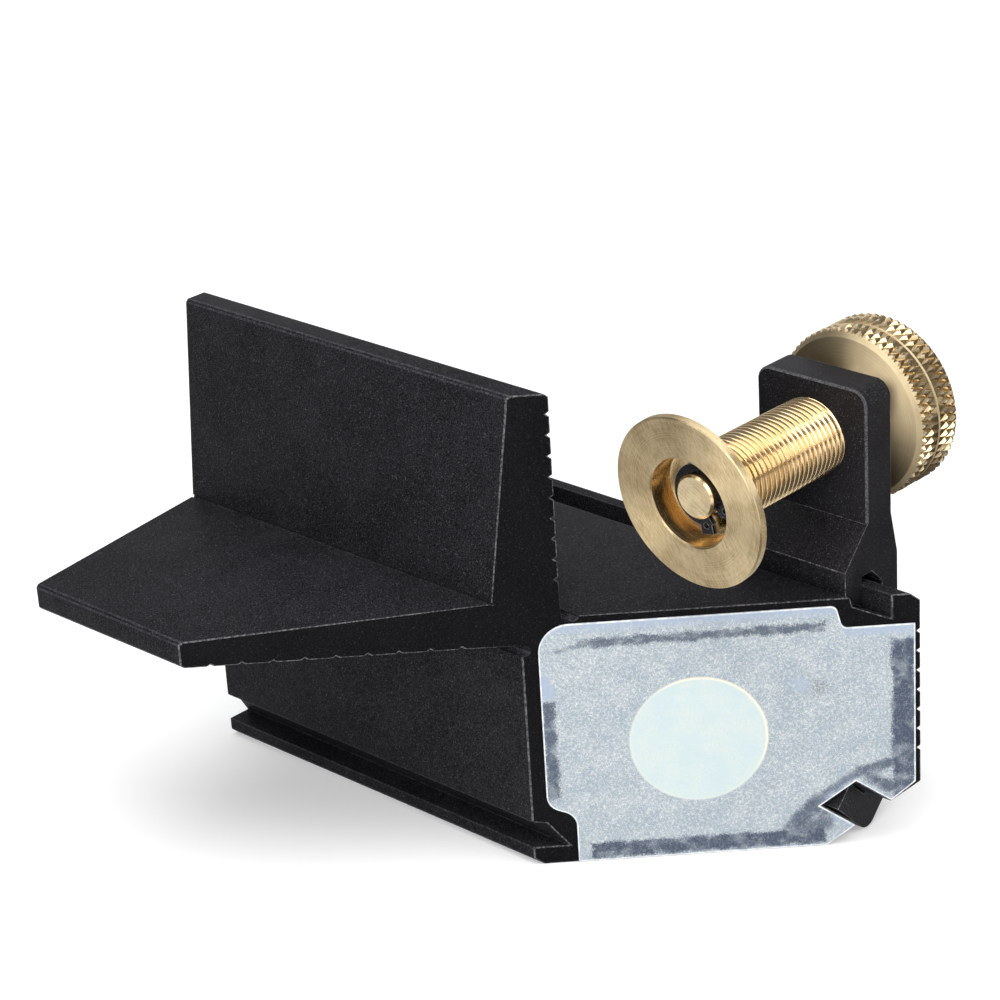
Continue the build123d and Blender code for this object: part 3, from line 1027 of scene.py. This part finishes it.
@dataclass
class Knob:
    """The knurled knob, with a groove between its two bands of pyramids."""

    inner_x: float
    outer_x: float
    crest_radius: float = 16.2 * MM
    root_radius: float = 15.70 * MM
    face_radius: float = 15.0 * MM
    teeth_round: int = 64
    teeth_along: int = 3
    tooth_length: float = 4.3 * MM
    blunted: float = 0.22 * MM
    groove_half: float = 0.28 * MM
    groove_lip: float = 0.12 * MM
    groove_radius: float = 15.42 * MM
    chamfer_reach: float = 1.6 * MM
    smooth_angle: float = math.radians(12)

    def is_turned(self, face: Face) -> bool:
        """Whether a face belongs to the knob's flat ends or their chamfers."""
        slope = abs(face.normal.x)
        from_end = min(face.center.x - self.inner_x, self.outer_x - face.center.x)
        rise = math.hypot(face.center.y, face.center.z)
        at_rim = from_end < self.chamfer_reach and rise > self.face_radius - MM
        return slope > 0.72 or (slope > 0.6 and at_rim)

    def pyramids(self) -> Piece:
        """A closed barrel covered in pyramids, longer than the knob."""
        middle = (self.inner_x + self.outer_x) / 2
        length = self.teeth_along * self.tooth_length
        Bench.clear()
        bpy.ops.mesh.primitive_cylinder_add(
            vertices=self.teeth_round,
            radius=self.root_radius,
            depth=length,
            end_fill_type="NOTHING",
            rotation=(0, math.pi / 2, 0),
            location=(middle, 0, 0),
        )
        barrel = bpy.context.object
        barrel.name = "knurl_barrel"
        Bench.bake_place()
        Bench.edit(barrel)
        for index in range(1, self.teeth_along):
            cut = middle - length / 2 + self.tooth_length * index
            Bench.take_all()
            bpy.ops.mesh.bisect(plane_co=(cut, 0, 0), plane_no=(1, 0, 0))
        Bench.leave()
        mesh = barrel.data
        corners = len(mesh.vertices)
        bpy.ops.object.mode_set(mode="EDIT")
        Bench.take_all()
        bpy.ops.mesh.poke(offset=0.0)
        Bench.pick(barrel, "EDGE", lambda edge: max(edge.vertices) < corners)
        bpy.ops.mesh.dissolve_edges(use_verts=False)
        Bench.take_all()
        bpy.ops.mesh.poke(offset=self.crest_radius - self.root_radius + self.blunted)
        for shift in (-self.groove_half, 0.0, self.groove_half):
            Bench.take_all()
            bpy.ops.mesh.bisect(plane_co=(middle + shift, 0, 0), plane_no=(1, 0, 0))
        Bench.leave()
        for vertex in mesh.vertices:
            beside = abs(vertex.co.x - middle)
            if beside < self.groove_half + 1e-6:
                radius = self.groove_radius if beside < 1e-6 else self.root_radius + self.groove_lip
                share = radius / math.hypot(vertex.co.y, vertex.co.z)
                vertex.co.y *= share
                vertex.co.z *= share
        Bench.close(barrel)
        return barrel

    def build(self) -> Piece:
        """Cuts the pyramids back to the knob's turned outline."""
        rise = self.crest_radius - self.face_radius
        outline = [
            (self.inner_x, self.face_radius),
            (self.inner_x + rise, self.crest_radius),
            (self.outer_x - rise, self.crest_radius),
            (self.outer_x, self.face_radius),
        ]
        blank = Bench.turn("knob", outline, sides=256)
        barrel = self.pyramids()
        cut = blank.modifiers.new("knurl", "BOOLEAN")
        cut.operation = "INTERSECT"
        cut.solver = "EXACT"
        cut.object = barrel
        Bench.apply(blank)
        bpy.data.objects.remove(barrel)
        return blank


@dataclass
class ClampScrew:
    """The clamp screw: spigot, shoulder, threaded shank and knob, turned from brass."""

    spigot_radius: float = 4.05 * MM
    groove_radius: float = 3.55 * MM
    spigot_break: float = 0.4 * MM
    shoulder_break: float = 0.8 * MM
    shank_radius: float = 6.61 * MM
    knob_width: float = 11.6 * MM
    shoulder_from_ring: float = 3.0 * MM
    ring_gap: float = 0.05 * MM

    def build(self) -> None:
        """Makes and dresses the screw's three pieces."""
        low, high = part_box("clamp_screw")
        ring_low, ring_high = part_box("retaining_ring")
        axis = DATUM.screw_axis()
        place = Matrix.Translation((0, axis.y, axis.z))
        gap = self.ring_gap
        shoulder = ring_high.x + self.shoulder_from_ring
        knob_face = high.x - self.knob_width
        outline = [
            (low.x, self.spigot_radius - self.spigot_break),
            (low.x + self.spigot_break, self.spigot_radius),
            (ring_low.x - gap, self.spigot_radius),
            (ring_low.x - gap, self.groove_radius),
            (ring_high.x + gap, self.groove_radius),
            (ring_high.x + gap, self.spigot_radius),
            (shoulder, self.spigot_radius),
            (shoulder, self.shank_radius - self.shoulder_break),
            (shoulder + self.shoulder_break, self.shank_radius),
            (knob_face + self.spigot_break, self.shank_radius),
        ]
        shank = Bench.turn("screw_shank", outline)
        tone = BrassTone((0.84, 0.70, 0.46), (0.50, 0.38, 0.21))
        spigot = GroundBrass(
            "spigot_brass", axis, tone, line_grain=0.24 * MM, line_angle=62.0, stretch=0.6
        )
        Bench.dress(shank, TurnedBrass("shank_brass", axis).build(), spigot.build())
        for face in shank.data.polygons:
            face.material_index = 1 if face.normal.x < -0.99 and face.center.x < low.x + gap else 0
        Bench.settle(shank, place)
        Bench.mount(shank, Body.SCREW, Slot.SCREW, "clamp_screw")

        ridge = Thread().build("screw_thread", shoulder + self.shoulder_break, knob_face)
        tone = BrassTone((0.84, 0.66, 0.42), (0.64, 0.45, 0.22))
        Bench.dress(ridge, TurnedBrass("thread_brass", axis, tone, roughness=0.16, stretch=0.3).build())
        Bench.settle(ridge, place)
        Bench.mount(ridge, Body.SCREW, Slot.SCREW)

        maker = Knob(knob_face, high.x)
        knob = maker.build()
        knurled = KnurledBrass("knurl_brass", axis, maker.root_radius, maker.crest_radius)
        tone = BrassTone((0.92, 0.79, 0.54), (0.78, 0.62, 0.38))
        turned = TurnedBrass(
            "knob_face_brass",
            axis,
            tone,
            ring_grain=0.14 * MM,
            ring_depth=0.012 * MM,
            contrast=0.4,
            roughness=0.66,
            stretch=0.92,
        )
        Bench.dress(knob, turned.build(), knurled.build())
        for face in knob.data.polygons:
            face.material_index = 0 if maker.is_turned(face) else 1
        Bench.settle(knob, place, maker.smooth_angle)
        Bench.mount(knob, Body.SCREW, Slot.SCREW)


@dataclass
class PressurePad:
    """The swivel pad, which leans on the screw's spigot."""

    radius: float = 16.2 * MM
    rim: float = 1.5 * MM
    rim_break: float = 0.25 * MM
    recess_radius: float = 8.4 * MM
    recess_depth: float = 5.1 * MM
    recess_break: float = 0.28 * MM
    recess_corner: float = 0.75 * MM
    corner_belly: float = 0.3
    web: float = 1.2 * MM
    hub_radius: float = 9.4 * MM
    bore_radius: float = 4.5 * MM
    tilt: float = math.radians(6.1)
    lean: float = math.radians(12.6)
    pivot_from_ring: float = 2.5 * MM

    def build(self) -> None:
        """Makes and dresses the pad."""
        half = self.web / 2
        front = -half - self.recess_depth
        edge = self.rim_break
        inner = self.recess_break
        corner = self.recess_corner
        belly = corner * self.corner_belly
        outline = [
            (front + inner, self.recess_radius),
            (front, self.recess_radius + inner),
            (front, self.radius - edge),
            (front + edge, self.radius),
            (front + self.rim, self.radius),
            (half, self.hub_radius),
            (half, self.bore_radius),
            (-half, self.bore_radius),
            (-half, self.recess_radius - corner),
            (-half - belly, self.recess_radius - belly),
            (-half - corner, self.recess_radius),
        ]
        pad = Bench.turn("pad", outline, sides=192, hollow=True)
        ring_low, ring_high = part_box("retaining_ring")
        axis = DATUM.screw_axis()
        pivot = Vector((ring_low.x + self.pivot_from_ring, axis.y, axis.z))
        hinge = Vector((0, math.cos(self.lean), math.sin(self.lean)))
        turn = Matrix.Rotation(-self.tilt, 4, hinge)
        face = GroundBrass("pad_face_brass", pivot)
        tone = BrassTone((0.76, 0.60, 0.37), (0.52, 0.38, 0.19))
        bore = TurnedBrass("pad_bore_brass", pivot, tone, roughness=0.22)
        Bench.dress(pad, face.build(), bore.build())
        for polygon in pad.data.polygons:
            rise = math.hypot(polygon.center.y, polygon.center.z)
            polygon.material_index = 1 if rise < self.recess_radius + 0.2 * inner else 0
        Bench.settle(pad, Matrix.Translation(pivot) @ turn)
        Bench.mount(pad, Body.PAD, Slot.PAD, "pressure_pad")


@dataclass(frozen=True)
class Softbox:
    """A rectangular lamp: where it stands, its width and height, and its power in watts."""

    name: str
    place: tuple[float, float, float]
    size: tuple[float, float]
    power: float


@dataclass(frozen=True)
class Card:
    """A dark card on the floor: its middle, and its length along X and along Y."""

    name: str
    place: tuple[float, float]
    size: tuple[float, float]


@dataclass
class Studio:
    """White paper, dark cards, soft boxes and the camera."""

    lens: float = 112.3
    camera_from_datum: tuple[float, float, float] = (-353.2, -344.2, 247.2)
    forward: tuple[float, float, float] = (0.6494, 0.6385, -0.4131)
    right: tuple[float, float, float] = (0.6809, -0.7301, -0.0582)
    floor_size: float = 6.0
    floor_gap: float = 0.05 * MM
    backdrop_away: float = 1.3
    backdrop_size: float = 2.2
    card_height: float = 2 * MM
    ambient: float = 0.22
    target: tuple[float, float, float] = (0.0, 0.0, 0.045)
    softboxes: tuple[Softbox, ...] = (
        Softbox("overhead", (-0.08, -0.03, 0.64), (0.8, 0.55), 4.4),
        Softbox("left", (-0.53, -0.28, 0.30), (0.4, 0.5), 2.5),
        Softbox("right", (0.25, -0.62, 0.35), (0.4, 0.4), 1.4),
    )
    cards: tuple[Card, ...] = (
        Card("flag_right", (0.33, -0.22), (0.5, 0.42)),
        Card("flag_front", (-0.075, -0.1), (0.16, 0.1)),
        Card("flag_back", (-0.40, 0.36), (0.4, 0.4)),
    )

    def paper(self) -> Material:
        """White paper that looks white to the camera and to metal, and keeps the shadow."""
        shader = Shader("paper_white")
        shader.set("Base Color", (0.84, 0.84, 0.84, 1.0))
        shader.set("Roughness", 0.9)
        shader.set("Specular IOR Level", 0.1)
        path = shader.node("ShaderNodeLightPath")
        away = shader.vector("LENGTH", shader.place)
        kinds = ("Camera", "Glossy", "Transmission")
        seen, glossy, passed = (path.outputs[f"Is {kind} Ray"] for kind in kinds)
        direct = shader.math("MULTIPLY", seen, shader.ramp(away, 0.1, 0.8, 0.3, 0.95))
        mirrored = shader.math("MAXIMUM", glossy, passed)
        mirrored = shader.math("MULTIPLY", mirrored, shader.ramp(away, 0.1, 0.8, 0.08, 0.5))
        shader.set("Emission Color", (1.0, 1.0, 1.0, 1.0))
        shader.set("Emission Strength", shader.math("MAXIMUM", direct, mirrored))
        return shader.material

    def sweep(self) -> None:
        """Lays the paper on the floor and hangs it behind the object."""
        paper = self.paper()
        Bench.clear()
        bpy.ops.mesh.primitive_plane_add(size=self.floor_size, location=(0, 0, -self.floor_gap))
        floor = bpy.context.object
        floor.name = "floor"
        away = self.backdrop_away / math.sqrt(2)
        bpy.ops.mesh.primitive_plane_add(
            size=self.backdrop_size,
            location=(away, away, self.backdrop_size / 2),
            rotation=(math.pi / 2, 0, -math.pi / 4),
        )
        backdrop = bpy.context.object
        backdrop.name = "backdrop"
        Bench.bake_place()
        for sheet in (floor, backdrop):
            sheet.data.materials.append(paper)

    def lay(self, card: Card) -> None:
        """Lays a dark card beside the view, which only shows in polished metal."""
        Bench.clear()
        bpy.ops.mesh.primitive_plane_add(size=1, location=(*card.place, self.card_height))
        sheet = bpy.context.object
        sheet.name = card.name
        sheet.scale = (*card.size, 1)
        Bench.bake_place()
        sheet.visible_camera = False
        sheet.visible_diffuse = False
        sheet.visible_shadow = False
        shader = Shader("flag_black")
        shader.set("Base Color", (0.05, 0.045, 0.04, 1.0))
        shader.set("Roughness", 0.9)
        sheet.data.materials.append(shader.material)

    def world(self) -> None:
        """Even grey light from all round."""
        world = bpy.data.worlds.new("studio")
        world.use_nodes = True
        background = world.node_tree.nodes["Background"]
        background.inputs["Color"].default_value = (1.0, 1.0, 1.0, 1.0)
        background.inputs["Strength"].default_value = self.ambient
        bpy.context.scene.world = world

    def hang(self, softbox: Softbox) -> None:
        """Hangs a lamp and aims it at the object."""
        bpy.ops.object.light_add(type="AREA", location=softbox.place)
        lamp = bpy.context.object
        lamp.name = softbox.name
        lamp.data.shape = "RECTANGLE"
        lamp.data.size, lamp.data.size_y = softbox.size
        lamp.data.energy = softbox.power
        aim = Vector(self.target) - Vector(softbox.place)
        lamp.rotation_euler = aim.to_track_quat("-Z", "Y").to_euler()

    def camera(self) -> None:
        """Stands the camera at the photograph's angle."""
        forward = Vector(self.forward).normalized()
        right = Vector(self.right)
        right = (right - forward * right.dot(forward)).normalized()
        up = right.cross(forward)
        turn = Matrix((right, up, -forward)).transposed().to_4x4()
        bpy.ops.object.camera_add()
        camera = bpy.context.object
        camera.name = "camera"
        camera.matrix_world = Matrix.Translation(DATUM.at(*self.camera_from_datum)) @ turn
        camera.data.sensor_width = 36.0
        camera.data.lens = self.lens
        camera.data.clip_start = 0.01
        camera.data.clip_end = 20.0
        bpy.context.scene.camera = camera

    def build(self) -> None:
        """Sets the stage."""
        self.sweep()
        self.world()
        for softbox in self.softboxes:
            self.hang(softbox)
        for card in self.cards:
            self.lay(card)
        self.camera()
        bpy.context.scene.view_settings.view_transform = "Standard"


def main() -> None:
    """Builds the saw guide and its setting."""
    logging.basicConfig(level=logging.INFO, format="%(name)s: %(message)s")
    Extrusion().build()
    Bracket().build()
    EndFace("mitre_face", math.radians(45), math.sqrt(2), Vector((-1, -1, 0)).normalized()).build()
    EndFace("square_face", 0.0, 1.0).build()
    ClampScrew().build()
    PressurePad().build()
    SpringRing().build()
    Bench.cover("lock_screw", TurnedBrass("lock_screw_brass", DATUM.at(*LOCK_SCREW_AT)).build())
    Studio().build()
    LOG.info("all pieces are in place")


if __name__ == "__main__":
    main()
